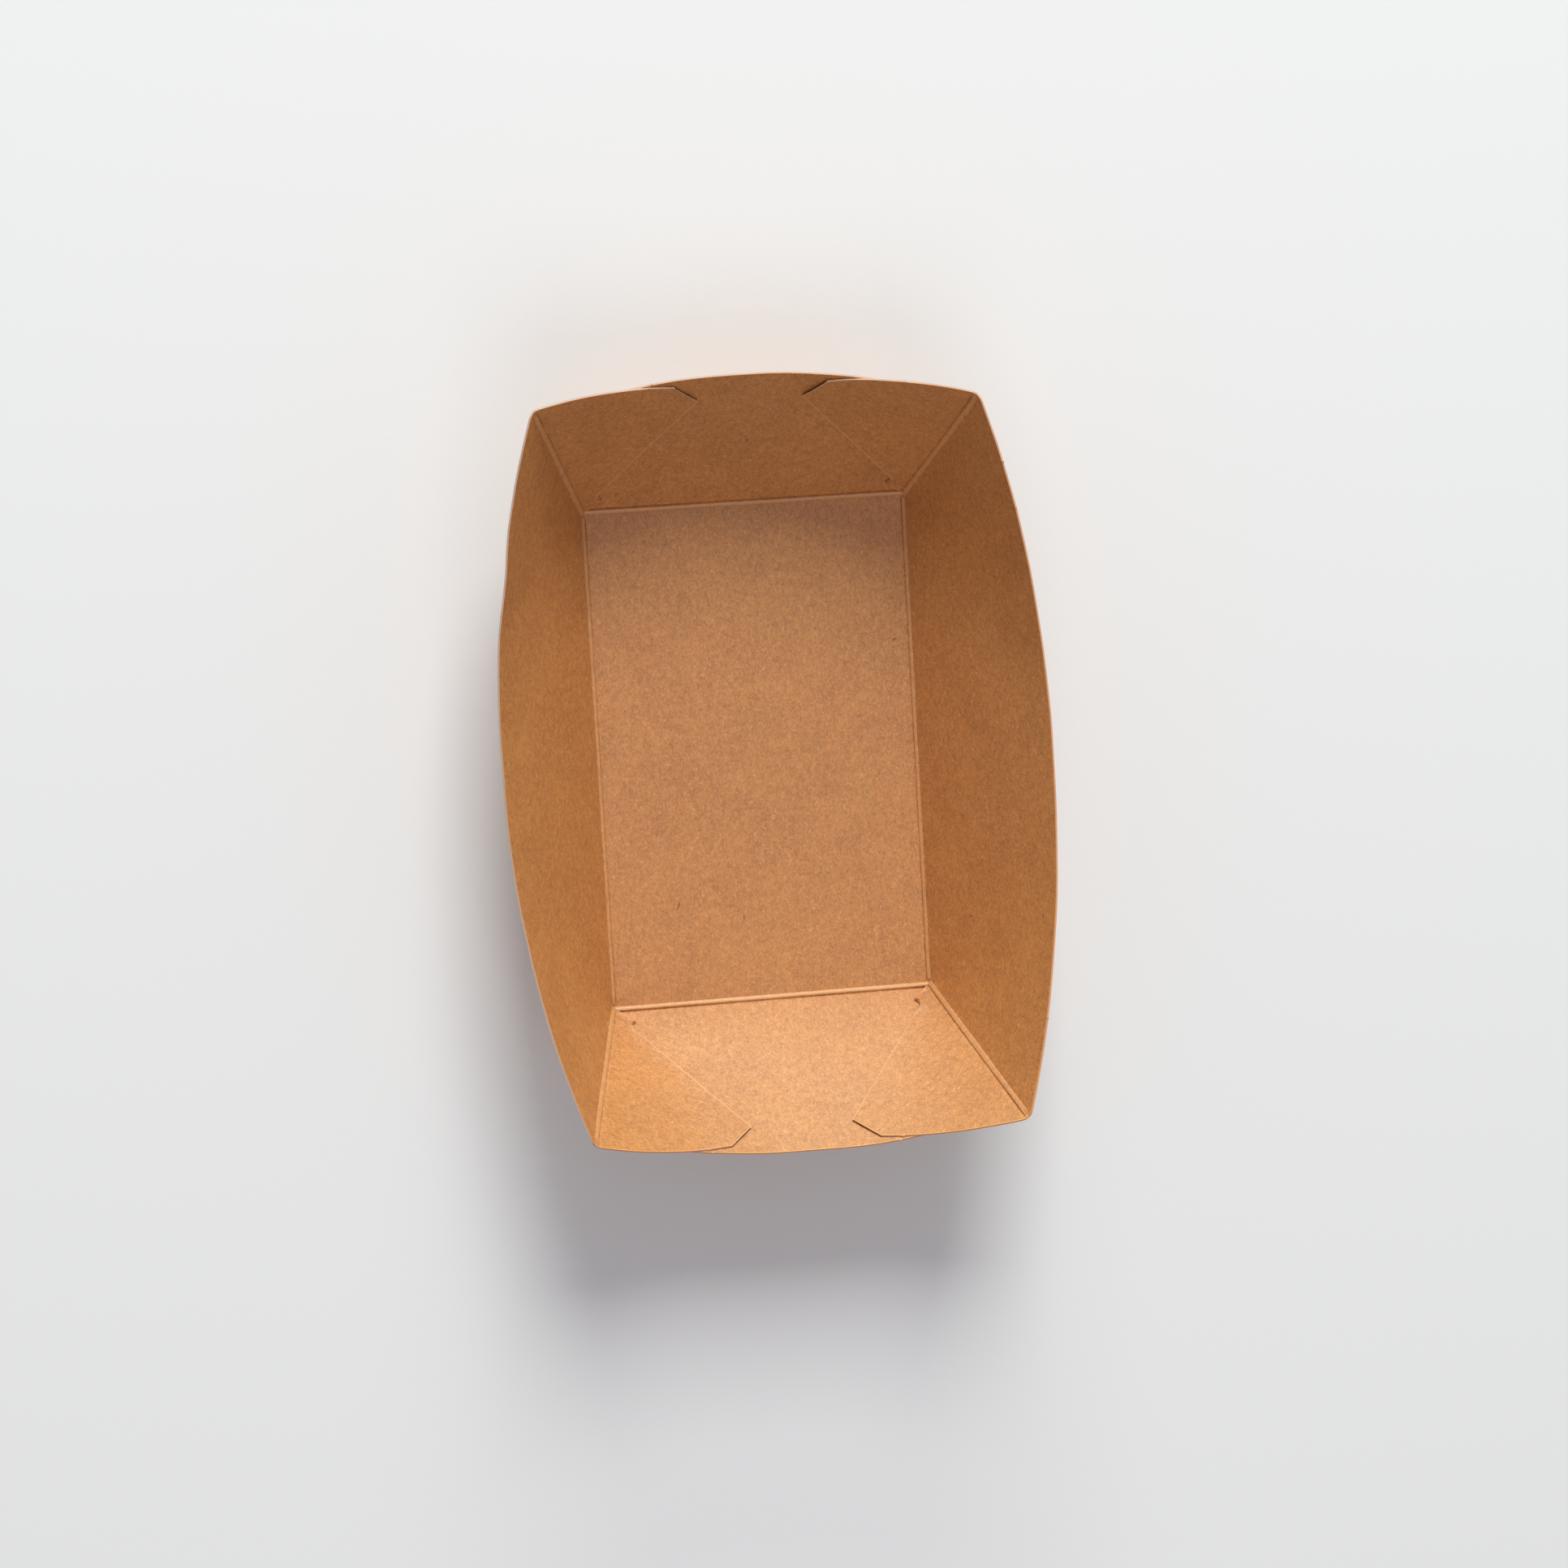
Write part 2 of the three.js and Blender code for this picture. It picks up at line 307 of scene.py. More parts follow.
def fold_push(fold, points):
    """How far, and which way, the fold moves the points, and how much paler it paints them: rubbed fibres
    and a painted highlight on the bead's crest.
    """
    shape = fold.profile
    place, gap, inside = beside_fold(fold, points)
    fade = np.clip(inside / FADE_RUN + 1.0, 0.0, 1.0)
    fade = fade * fade * (3.0 - 2.0 * fade)
    rounding = fold.opening * np.maximum(shape.round - gap, 0.0) ** 2 / (4.0 * shape.round)
    uneven = 1.0 + BEAD_UNEVEN * shape.bead_high * wobble(place, fold.seed)
    half = shape.bead_half * (1.0 + BEAD_WAVER * wobble(place, fold.seed + WAVER_SEED))
    dome = (1.0 - np.clip(gap / half, 0.0, 1.0) ** 2) ** BEAD_FULLNESS
    near_end = 0.5 + 0.5 * np.exp(-np.clip(inside, 0.0, None) / GROOVE_RUN)
    pinched_side = (points - fold.start) @ fold.groove_way > ON_THE_FOLD
    across = (gap - shape.bead_half) / shape.groove_half
    groove = shape.groove * near_end * np.exp(-across ** 2) * pinched_side
    push = ((rounding + shape.bead_high * uneven * dome - groove) * fade)[..., None] * fold.inward
    # The second value paints the bead's crest paler: rubbed fibres and a painted highlight
    return push, RUB_AND_HIGHLIGHT_BY_HEIGHT * shape.bead_high * fade * dome


print("beads, mm high", SIDE_PROFILE.bead_high, END_PROFILE.bead_high, CORNER_PROFILE.bead_high)

# %% [markdown]
# ## Where the eight folds are
#
# Four creases run round the floor and four folds climb from its corners. A fold pushes along the line
# that halves the angle between its two panels. Picking edges by hand and bevelling them would work on
# one mesh, but worked-out folds follow when a size of the sheet changes.

# %% Folds
END_CREASE_OUT = HALF_LENGTH + BOARD / math.cos(END_LEAN)
TO_FLOOR = (-1.0, 0.0, 0.0)
TO_WALL = (0.0, 0.0, 1.0)
SIDE_FADE = (1.0, 1.0)
END_FADE = (0.3, 0.3)
CORNER_FADE = (0.7, 2.2)
PROBE_SHARE = 0.7
PROBE_INSET = 0.6


def unit(vector):
    return vector / np.linalg.norm(vector)


def crease_fold(wall, crease_out, half, profile, groove_way, fade, seed):
    """The fold between the floor and a wall."""
    sum_of_ways = np.array([math.sin(wall.lean) - 1.0, 0.0, math.cos(wall.lean)])
    ends = turned(wall, np.array([[crease_out, -half, BOARD], [crease_out, half, BOARD]]))
    inward = turned(wall, unit(sum_of_ways))
    opening = np.linalg.norm(sum_of_ways)
    way = turned(wall, np.array(groove_way))
    return Fold(ends[0], ends[1], inward, opening, profile, way, fade, seed)


def corner_fold(side, end, sign_x, sign_y, seed):
    """The fold between a side wall and a corner flap, with the pinched line on the flap."""
    foot = np.array([sign_x * HALF_WIDTH, sign_y * HALF_LENGTH, BOARD])
    rise = np.array([sign_x * CORNER_OUT_X, sign_y * CORNER_OUT_Y, CORNER_RISE])
    run = unit(rise)
    ways = []
    for wall in (side, end):
        slant = PROBE_SHARE * corner_slant(wall)
        near = half_width_at(wall, slant) - PROBE_INSET
        sign = np.sign(turned(wall, np.array([0.0, 1.0, 0.0])) @ foot)
        off_foot = turned(wall, bent(wall, np.array(sign * near), np.array(slant))) - foot
        ways.append(unit(off_foot - (off_foot @ run) * run))
    inward = ways[0] + ways[1]
    opening = np.linalg.norm(inward)
    to_flap = ways[1] - ways[0]
    return Fold(foot, foot + rise, unit(inward), opening, CORNER_PROFILE, to_flap, CORNER_FADE, seed)


side_folds = []
for i, wall in enumerate(SIDES):
    fold = crease_fold(wall, HALF_WIDTH, HALF_LENGTH, SIDE_PROFILE, TO_FLOOR, SIDE_FADE, seed=1.0 + i)
    side_folds.append(fold)
end_folds = []
for i, wall in enumerate(ENDS):
    fold = crease_fold(wall, END_CREASE_OUT, HALF_WIDTH, END_PROFILE, TO_WALL, END_FADE, seed=5.0 + i)
    end_folds.append(fold)
corner_folds = {}
for i, side in enumerate(SIDES):
    for j, end in enumerate(ENDS):
        signs = (1 - 2 * i, 1 - 2 * j)
        corner_folds[signs] = corner_fold(side, end, *signs, seed=9.0 + 2 * i + j)
print("folds", len(side_folds) + len(end_folds) + len(corner_folds))

# %% [markdown]
# ## A sheet that grows panel by panel
#
# The sheet keeps one list of points. A panel hands over a grid, and points that already exist, on a
# shared crease, are used again. Each point stores three places: on the plain bent board, on the inner
# face with its beads, and on the flat sheet, which later steers the direction of the fibres. It also
# stores how much paler the board is painted there, for rubbed fibres and a painted highlight on beads
# and cut edges, and how far the outer face is cut under there. Merge by Distance could join finished
# panels too, but it would drop what the doubled points store.

# %% The growing sheet
def pushed(plain, folds):
    """The inner face, after every fold has moved it, and how much paler the folds paint it: rubbed fibres
    and a painted highlight.
    """
    inner = plain.copy()
    rub_and_highlight = np.zeros(plain.shape[:-1])
    for fold in folds:
        push, rub_and_highlight_share = fold_push(fold, plain)
        inner += push
        rub_and_highlight = np.maximum(rub_and_highlight, rub_and_highlight_share)
    return inner, rub_and_highlight


class Sheet:
    def __init__(self):
        self.plain = []
        self.inner = []
        self.flat = []
        self.rub_and_highlight = []
        self.undercut = []
        self.faces = []
        self.known = {}

    def point(self, plain, inner, flat, rub_and_highlight, undercut):
        key = tuple(np.round(plain, 3))
        if key not in self.known:
            self.known[key] = len(self.plain)
            self.plain.append(plain)
            self.inner.append(inner)
            self.flat.append(flat)
            self.rub_and_highlight.append(rub_and_highlight)
            self.undercut.append(undercut)
        return self.known[key]

    def panel(self, plain, folds, flat, undercut=None, cut_rub_and_highlight=0.0):
        """Adds a grid whose rows climb and whose columns run so that the faces look inwards."""
        rows, columns = plain.shape[:2]
        inner, rub_and_highlight = pushed(plain, folds)
        # Paler paint for rubbed fibres and a painted highlight, from the folds and from a flap's lower cut
        rub_and_highlight = np.maximum(rub_and_highlight, cut_rub_and_highlight)
        if undercut is None:
            undercut = np.zeros_like(plain)
        ids = [[self.point(plain[r, c], inner[r, c], flat[r, c], rub_and_highlight[r, c], undercut[r, c])
                for c in range(columns)] for r in range(rows)]
        for r in range(rows - 1):
            for c in range(columns - 1):
                loop = [ids[r][c], ids[r + 1][c], ids[r + 1][c + 1], ids[r][c + 1]]
                loop = [v for k, v in enumerate(loop) if v not in loop[:k]]
                if len(loop) > 2:
                    self.faces.append(loop)


sheet = Sheet()
print("empty sheet: points", len(sheet.plain), "faces", len(sheet.faces))

# %% [markdown]
# ## The floor
#
# The floor is a plain rectangle between four creases. At its two ends it runs on past the side creases
# by the thickness of the board, because the end walls are the outer layer there. A plane would do for
# the middle, but its edges need the same stations as the walls, so it is a grid too.

# %% Floor
def floor_panel():
    x = end_shares * HALF_WIDTH
    y = np.concatenate([[-END_CREASE_OUT], side_shares * HALF_LENGTH, [END_CREASE_OUT]])
    grid_x, grid_y = np.meshgrid(x, y)
    plain = np.stack([grid_x, grid_y, np.full_like(grid_x, BOARD)], -1)
    flat = np.stack([grid_x, grid_y, np.zeros_like(grid_x)], -1)
    sheet.panel(plain[:, ::-1], side_folds + end_folds, flat[:, ::-1])


floor_panel()
print("floor points", len(sheet.plain), "faces", len(sheet.faces))

# %% [markdown]
# ## Marks on the side walls
#
# Handling and cutting leave small marks. The wall at -X has a shallow thumb dent near its rim. The die
# rounds the rim's corners and leaves tiny nicks in the cut edge. They are kept, because a tray without
# any flaw looks like a drawing. Sculpting would do for the dent alone, but a formula keeps the edge of
# the board free of lumps.

# %% Dent, rounded corners and nicks
DENT_AT = 43.0
DENT_HALF = 11.0
DENT_DEEP = 0.65
DENT_REACH = 12.0
KINK_DEEP = 0.16
KINK_OFFSET = 6.5
KINK_HALF = 1.1
RIM_ROUND = 1.7
RIM_ROUND_SHARE = 0.013
NICK_HALF = 0.2
AT_RIM = 0.999


def dent(along, slant, slope):
    """How far the thumb dent goes in: deepest at the rim, with a sharper end towards the middle."""
    offset = (along + DENT_AT) / DENT_HALF
    lengthwise = np.where(np.abs(offset) < 1.0, 0.5 + 0.5 * np.cos(np.pi * offset), 0.0)
    down = np.clip(1.0 - (slope - slant) / DENT_REACH, 0.0, 1.0)
    kink = KINK_DEEP * np.exp(-((along + DENT_AT - KINK_OFFSET) / KINK_HALF) ** 2) * down ** 3
    return DENT_DEEP * lengthwise * down ** 2 + kink


def rounded_rim(from_corner):
    """The share of the wall's height that is left where the die rounds the rim's corner."""
    return 1.0 - RIM_ROUND_SHARE * np.clip(1.0 - from_corner / RIM_ROUND, 0.0, 1.0) ** 2


def nick_lift(nicks, which, along_rim):
    """How far the nicks of one wall lift its rim."""
    lift = np.zeros_like(along_rim)
    for wall_number, at, proud in nicks:
        if wall_number == which:
            lift += proud * np.exp(-((along_rim - at) / NICK_HALF) ** 2)
    return lift


print("nicks", len(SIDE_NICKS) + len(END_NICKS), "and a dent", DENT_DEEP, "mm deep")

# %% [markdown]
# ## The side walls
#
# The long walls carry the corner flaps, so the corner folds work on them too. Their rim dips a little in
# the middle. A plane cut out with a knife tool would give this outline too, but the grid narrows towards
# the floor as the cut panel does, so that both of its ends run exactly along the folds.

# %% Side walls
def side_wall(which, wall):
    shares, rise = np.meshgrid(side_shares, climb)
    left_over = rounded_rim(half_rim(wall) * (1.0 - np.abs(shares)))
    rim_slant = corner_slant(wall) * left_over - SIDE_RIM_DIP * (1.0 - shares ** 2)
    nick = nick_lift(SIDE_NICKS, which, shares * half_rim(wall))
    slant = rise * rim_slant + nick * (rise > AT_RIM)
    along = shares * half_width_at(wall, slant)
    depth = np.zeros_like(along)
    sign_x = 1 - 2 * which
    if sign_x < 0:
        depth = -dent(along, slant, corner_slant(wall)) * (np.abs(shares) < AT_RIM)
    plain = wall_points(wall, along, slant, depth)
    folds = [side_folds[which]]
    folds += [fold for signs, fold in corner_folds.items() if signs[0] == sign_x]
    way = turned(wall, np.array([0.0, 1.0, 0.0]))
    flat = np.stack([sign_x * (HALF_WIDTH + slant), along * way[1], np.zeros_like(along)], -1)
    sheet.panel(plain, folds, flat)


for which, wall in enumerate(SIDES):
    side_wall(which, wall)
print("with side walls: points", len(sheet.plain), "faces", len(sheet.faces))

# %% [markdown]
# ## The cut of a corner flap
#
# A flap is a triangle of board with its foot in the floor corner. Its tip is cut off at a slant, and its
# lower edge runs straight down to a small round scoop that stops the cut from tearing. The outline is
# worked out from a few sizes. Tracing it as a curve would fix it to one size of tray.

# %% The flap's outline
RIM_SPREAD = [0.0, 0.09, 0.2, 0.33, 0.48, 0.65, 0.85, 1.1, 1.4, 1.8, 2.3, 3.0, 4.0, 5.4, 7.2]
RIM_SPREAD_END = 9.0
PLAIN_RIM_STATIONS = 12
CLEAR_OF_TIP = 1.0
CHAMFER_SHARES = [0.12, 0.3, 0.5, 0.68, 0.82, 0.9, 0.95, 0.98, 1.0]


def lower_cut(wall, slant):
    """How far along the end wall the flap's lower edge lies, at each slant."""
    scoop = wall.half_crease - SCOOP_INSET
    low = SCOOP_RISE - SCOOP_HALF
    high = SCOOP_RISE + SCOOP_HALF
    straight = scoop + (FLAP_NECK - scoop) * (slant - high) / (neck_slant(wall) - high)
    foot = wall.half_crease + (scoop - wall.half_crease) * slant / low
    bulge = SCOOP_BULGE * np.sqrt(np.clip(1.0 - ((slant - SCOOP_RISE) / SCOOP_HALF) ** 2, 0.0, None))
    return np.where(slant < low, foot, np.where(slant < high, scoop + bulge, straight))


def rim_stations(length):
    """Places from the rim corner towards the tip, close together by the fold and at the nicks."""
    plain_places = np.linspace(RIM_SPREAD_END, length, PLAIN_RIM_STATIONS)
    nicks = [half_rim(ENDS[0]) - abs(at) + shift for _, at, _ in END_NICKS for shift in NICK_STATIONS]
    nicks = [place for place in nicks if place < length - CLEAR_OF_TIP]
    return np.unique(np.round(np.concatenate([RIM_SPREAD, plain_places, nicks]), 4))


def flap_top(wall):
    """The flap's top edge from the rim corner to the tip, and down the chamfer to the neck."""
    corner = np.array([half_rim(wall), corner_slant(wall)])
    tip = np.array([FLAP_TIP, corner_slant(wall) - FLAP_RIM_FALL])
    neck = np.array([FLAP_NECK, neck_slant(wall)])
    length = np.linalg.norm(tip - corner)
    along_rim = rim_stations(length)
    rim = corner + (tip - corner) * (along_rim / length)[:, None]
    foot = np.array([wall.half_crease, 0.0])
    rim = foot + (rim - foot) * rounded_rim(along_rim)[:, None]
    chamfer = tip + (neck - tip) * np.array(CHAMFER_SHARES)[:, None]
    return np.concatenate([rim, chamfer]), neck


print("stations along a flap's top edge", len(flap_top(ENDS[0])[0]))

# %% [markdown]
# ## How a flap lies on the end wall
#
# The flap is glued flat, but its tip isn't quite stuck, so it lifts and throws a thin shadow, and the
# edge of the scoop lifts a little too. A bump can't throw a shadow, so the lift is real. The fibres of
# the flap belong to the side wall, so its flat place is turned about the corner fold.

# %% Lift and fibres of a flap
TIP_LIFT = {(1, 1): 0.55, (1, -1): 0.3, (-1, 1): 0.45, (-1, -1): 0.28}
TIP_LIFT_FROM_NECK = (2.0, 2.5)
TIP_LIFT_REACH = 11.0
TIP_LIFT_CURL = 1.6
SCOOP_LIFT = {(1, 1): 0.42, (1, -1): 0.4, (-1, 1): 0.1, (-1, -1): 0.12}
SCOOP_LIFT_INSET = 0.6
SCOOP_LIFT_REACH = 1.6


def flap_lift(wall, place, neck, signs):
    """How far the flap stands off the end wall."""
    past_neck = place[..., 0] - FLAP_NECK - TIP_LIFT_FROM_NECK[0]
    above_neck = place[..., 1] - neck[1] - TIP_LIFT_FROM_NECK[1]
    to_neck = np.hypot(past_neck, above_neck)
    past_scoop = place[..., 0] - wall.half_crease + SCOOP_INSET - SCOOP_LIFT_INSET
    to_scoop = np.hypot(past_scoop, place[..., 1] - SCOOP_RISE)
    tip = TIP_LIFT[signs] * np.clip(1.0 - to_neck / TIP_LIFT_REACH, 0.0, 1.0) ** TIP_LIFT_CURL
    return tip + SCOOP_LIFT[signs] * np.exp(-(to_scoop / SCOOP_LIFT_REACH) ** 2)


def fibre_place(place, signs):
    """Where the flap was on the flat sheet: turned about the corner fold, as part of the side wall."""
    end = ENDS[0]
    side = SIDES[0]
    fold_end = math.atan2(end.corner_along, corner_slant(end))
    fold_side = math.atan2(side.corner_along, corner_slant(side))
    offset = place - np.array([end.half_crease, 0.0])
    reach = np.hypot(offset[..., 0], offset[..., 1])
    from_fold = fold_end - np.arctan2(offset[..., 0], offset[..., 1])
    angle = fold_side + from_fold
    x = signs[0] * (HALF_WIDTH + reach * np.cos(angle))
    y = signs[1] * (HALF_LENGTH + reach * np.sin(angle))
    return np.stack([x, y, np.zeros_like(x)], -1)


print("flap tips lift, mm", sorted(TIP_LIFT.values()))

# %% [markdown]
# ## The corner flaps
#
# Straight lines from the floor corner to the top edge fill the flap, and the lower edge is then pulled
# to the true cut. Cutting a finished grid with a Boolean would leave ragged little faces along the
# cut. Along the lower cut the board is painted paler, as rubbed fibres and a painted highlight on the
# edge, and the edge of the chamfer is cut under.

# %% Corner flaps
# How much paler each corner's lower cut is painted: rubbed fibres and a painted highlight along the edge
CUT_RUB_AND_HIGHLIGHT_BY_CORNER = {(1, 1): 0.9, (1, -1): 0.3, (-1, 1): 0.8, (-1, -1): 0.9}
CUT_RUB_AND_HIGHLIGHT_WIDTH = 0.34
CUT_RUB_AND_HIGHLIGHT_BELOW_SCOOP = 0.3
UNDERCUT = 0.3


def flap_grid(wall, top, neck):
    """The flap's points, as how far along the end wall and how far up it."""
    foot = np.array([wall.half_crease, 0.0])
    place = foot + climb[:, None, None] * (top - foot)[None]
    neck_line = foot + climb[:, None] * (neck - foot)
    true_cut = lower_cut(wall, neck_line[:, 1])
    reach = np.clip((top[0, 0] - top[:, 0]) / (top[0, 0] - neck[0]), 0.0, 1.0) ** 2
    place[..., 0] += reach[None, :] * (true_cut - neck_line[:, 0])[:, None]
    return place


def corner_flap(which, wall, side):
    corner = turned(wall, np.array([wall.crease_out, side * 1.0, 0.0]))
    signs = tuple(int(s) for s in np.sign(corner[:2]))
    top, neck = flap_top(wall)
    place = flap_grid(wall, top, neck)
    along = side * place[..., 0]
    slant = place[..., 1]
    lift = flap_lift(wall, place, neck, signs)
    at_top = climb[:, None] > AT_RIM
    clear_of_tip = np.abs(along) > FLAP_TIP + CLEAR_OF_TIP
    nick = nick_lift(END_NICKS, which, along) * at_top * clear_of_tip
    plain = wall_points(wall, along, slant + nick, -lift)
    on_chamfer = np.arange(len(top)) >= len(top) - len(CHAMFER_SHARES)
    cut = on_chamfer[None, :] & at_top
    under = wall_points(wall, side * (place[..., 0] + UNDERCUT * cut), slant - 0.5 * UNDERCUT * cut, -lift)
    undercut = np.where(cut[..., None], under - plain, 0.0)
    # A pale line along the lower cut: rubbed fibres and a painted highlight on the edge, weaker below the
    # scoop
    cut_rub_and_highlight = np.clip(1.0 - (place[..., 0] - lower_cut(wall, slant)) / CUT_RUB_AND_HIGHLIGHT_WIDTH, 0.0, 1.0)
    cut_rub_and_highlight = cut_rub_and_highlight * CUT_RUB_AND_HIGHLIGHT_BY_CORNER[signs] * np.where(slant < SCOOP_RISE, CUT_RUB_AND_HIGHLIGHT_BELOW_SCOOP, 1.0)
    flat = fibre_place(place, signs)
    order = slice(None) if side < 0 else slice(None, None, -1)
    sheet.panel(plain[:, order], [corner_folds[signs]], flat[:, order], undercut[:, order], cut_rub_and_highlight[:, order])


for which, wall in enumerate(ENDS):
    for side in (1, -1):
        corner_flap(which, wall, side)
print("with flaps: points", len(sheet.plain), "faces", len(sheet.faces))

# %% [markdown]
# ## The end panels
#
# An end panel is the outer layer of an end wall, one board behind the flaps. It shows between the flap
# tips, and outside it covers nearly the whole wall, with round top corners just short of the folds.
# A copy of the flaps' surface moved outwards could stand in for it, but it has its own outline.

# %% End panels
GLUE_GAP = 0.03
GLUE_GAP_FROM = 2.0
END_PANEL_INSET = 0.7
INSET_FROM = 3.0
END_PANEL_ROUND = 4.0
ROUND_HEIGHT_SHARE = 0.9
NICKS_PAST_TIP = 7.0
ON_CREASE = 0.0001

# The end panels take their fibre pattern from another layer of the noise than the panels next to them
END_PANEL_LAYER = 7.0


def end_panel_top(wall, shares):
    """The slant of the panel's top edge, with its round corners."""
    half_top = half_width_at(wall, END_RIM_SLANT - END_RIM_FALL) - END_PANEL_INSET
    from_edge = np.clip(END_PANEL_ROUND - half_top * (1.0 - np.abs(shares)), 0.0, END_PANEL_ROUND)
    rounded_off = END_PANEL_ROUND - np.sqrt(END_PANEL_ROUND ** 2 - from_edge ** 2)
    return END_RIM_SLANT - END_RIM_FALL * shares ** 2 - rounded_off * ROUND_HEIGHT_SHARE


def end_panel(which, wall):
    shares, rise = np.meshgrid(end_shares, climb)
    start = BOARD * math.tan(wall.lean)
    slant = start + rise * (end_panel_top(wall, shares) - start)
    along_rim = shares * half_rim(wall)
    nick = nick_lift(END_NICKS, which, along_rim) * (rise > AT_RIM)
    slant = slant + nick * (np.abs(shares) * half_rim(wall) < FLAP_TIP + NICKS_PAST_TIP)
    inset = END_PANEL_INSET * np.abs(shares) * np.clip(slant / INSET_FROM, 0.0, 1.0)
    along = shares * half_width_at(wall, slant) - np.sign(shares) * inset
    crease = rise < ON_CREASE
    along = np.where(crease, shares * wall.half_crease, along)
    depth = BOARD + GLUE_GAP * np.clip(slant / GLUE_GAP_FROM, 0.0, 1.0)
    crease_line = np.stack([np.full_like(along, END_CREASE_OUT), along, np.full_like(along, BOARD)], -1)
    plain = np.where(crease[..., None], turned(wall, crease_line), wall_points(wall, along, slant, depth))
    way_along, way_out = turned(wall, np.array([[0.0, 1.0, 0.0], [1.0, 0.0, 0.0]]))
    flat_y = way_out[1] * (END_CREASE_OUT + slant)
    flat = np.stack([along * way_along[0], flat_y, np.full_like(along, END_PANEL_LAYER)], -1)
    sheet.panel(plain, [end_folds[which]], flat)


for which, wall in enumerate(ENDS):
    end_panel(which, wall)
print("whole sheet: points", len(sheet.plain), "faces", len(sheet.faces))

# %% [markdown]
# ## From a surface to board
#
# The board needs its thickness, because its pale cut edge outlines the whole tray. A Solidify modifier
# would also push the beads through to the outside, so the outer face is made here instead: the plain
# bent board moved out by one board. That needs the direction of the surface at each point, and the
# free edges, where the two faces are joined.

# %% Normals and free edges
SMALLEST_NORMAL = 1e-12


def vertex_normals(points, faces):
    normals = np.zeros_like(points)
    for face in faces:
        a, b, c = points[face[0]], points[face[1]], points[face[2]]
        normal = np.cross(b - a, c - a)
        if len(face) == 4:
            normal = normal + np.cross(c - a, points[face[3]] - a)
        for v in face:
            normals[v] += normal
    return normals / np.maximum(np.linalg.norm(normals, axis=1, keepdims=True), SMALLEST_NORMAL)


def free_edges(faces):
    """Edges with one face only, in the direction that their face runs."""
    edges = [(a, face[(k + 1) % len(face)]) for face in faces for k, a in enumerate(face)]
    known = set(edges)
    return [(a, b) for a, b in edges if (b, a) not in known]


plain = np.array(sheet.plain)
normals = vertex_normals(plain, sheet.faces)
rim_edges = free_edges(sheet.faces)
print("free edges", len(rim_edges))

# %% [markdown]
# ## The inner and the outer face
#
# Real board is never quite even, and its slow waves show in the shading, so both faces get the same small
# wave. The rim of a hand-folded tray isn't quite square to its floor either, which a shear with height
# gives. A lattice could do the same, but two lines of arithmetic are easier to change.

# %% Inner and outer face
RACK_X = 1.6
RACK_Y = 0.9
WAVE_HIGH = 0.11
WAVE_GROWS_OVER = 18.0


def racked(points):
    """Moves points sideways with their height, because the tray isn't quite square at its rim."""
    height = points[..., 2] / (BOARD + CORNER_RISE)
    share_x = points[..., 0] / (HALF_WIDTH + CORNER_OUT_X)
    share_y = points[..., 1] / (HALF_LENGTH + CORNER_OUT_Y)
    moved = points.copy()
    moved[..., 0] -= RACK_X * share_y * height
    moved[..., 1] -= RACK_Y * share_x * height
    return moved


def gentle_wave(points):
    """Slow unevenness of the board, in the direction of its normal."""
    x, y, z = points[:, 0], points[:, 1], points[:, 2]
    wave = np.sin(0.13 * x + 0.07 * y + 1.3) * np.sin(0.09 * y - 0.11 * z + 0.4)
    wave = wave + 0.5 * np.sin(0.31 * x - 0.17 * y + 2.1) * np.sin(0.23 * z + 0.19 * y)
    return WAVE_HIGH * wave * np.clip((z - BOARD) / WAVE_GROWS_OVER, 0.0, 1.0)


wave = gentle_wave(plain)[:, None] * normals
outer = racked(plain + wave - BOARD * normals + np.array(sheet.undercut))
inner = racked(np.array(sheet.inner) + wave)
outer[:, 2] = np.maximum(outer[:, 2], 0.0)
print("largest wave, mm", round(float(np.abs(wave).max()), 3))

# %% [markdown]
# ## The tray as one mesh
#
# The inner face, the outer face turned over, and a strip of cut edge all round become one mesh, so the
# tray stays one sheet without any loose part. The cut edge gets its own material number. Only folds
# sharper than 50 degrees stay sharp in the shading, and the rest of the board rolls over softly.

# %% Tray mesh
SHARP_FROM = math.radians(50)
BOARD_FINISH = 0
EDGE_FINISH = 1

count = len(inner)
board_faces = list(sheet.faces)
board_faces += [[v + count for v in reversed(face)] for face in sheet.faces]
cut_faces = [[b, a, a + count, b + count] for a, b in rim_edges]
tray_points = np.concatenate([inner, outer]) * MM

tray_mesh = bpy.data.meshes.new("folded_tray")
tray_mesh.from_pydata(tray_points.tolist(), [], board_faces + cut_faces)
tray_mesh.validate()
tray_mesh.update()
for polygon in tray_mesh.polygons:
    polygon.use_smooth = True
    polygon.material_index = EDGE_FINISH if polygon.index >= len(board_faces) else BOARD_FINISH
tray_mesh.set_sharp_from_angle(angle=SHARP_FROM)

tray = bpy.data.objects.new("folded_tray", tray_mesh)
bpy.context.scene.collection.objects.link(tray)
print("tray faces", len(tray_mesh.polygons), "cut edge faces", len(cut_faces))

# %% [markdown]
# ## What the finish needs to know
#
# The finish has to know where each point was on the flat sheet, so that the fibres turn with the folds,
# and where the board is painted paler, for rubbed fibres and a painted highlight on beads and cut edges.
# UV maps could hold the flat sheet, but a named attribute also holds a third number, which gives the
# outer face a pattern of its own.

# %% Attributes for the finish
OUTER_LAYER = 31.0
# Every free edge is painted fully pale on the inner face: rubbed fibres and a painted highlight along the
# edge
EDGE_RUB_AND_HIGHLIGHT = 1.0

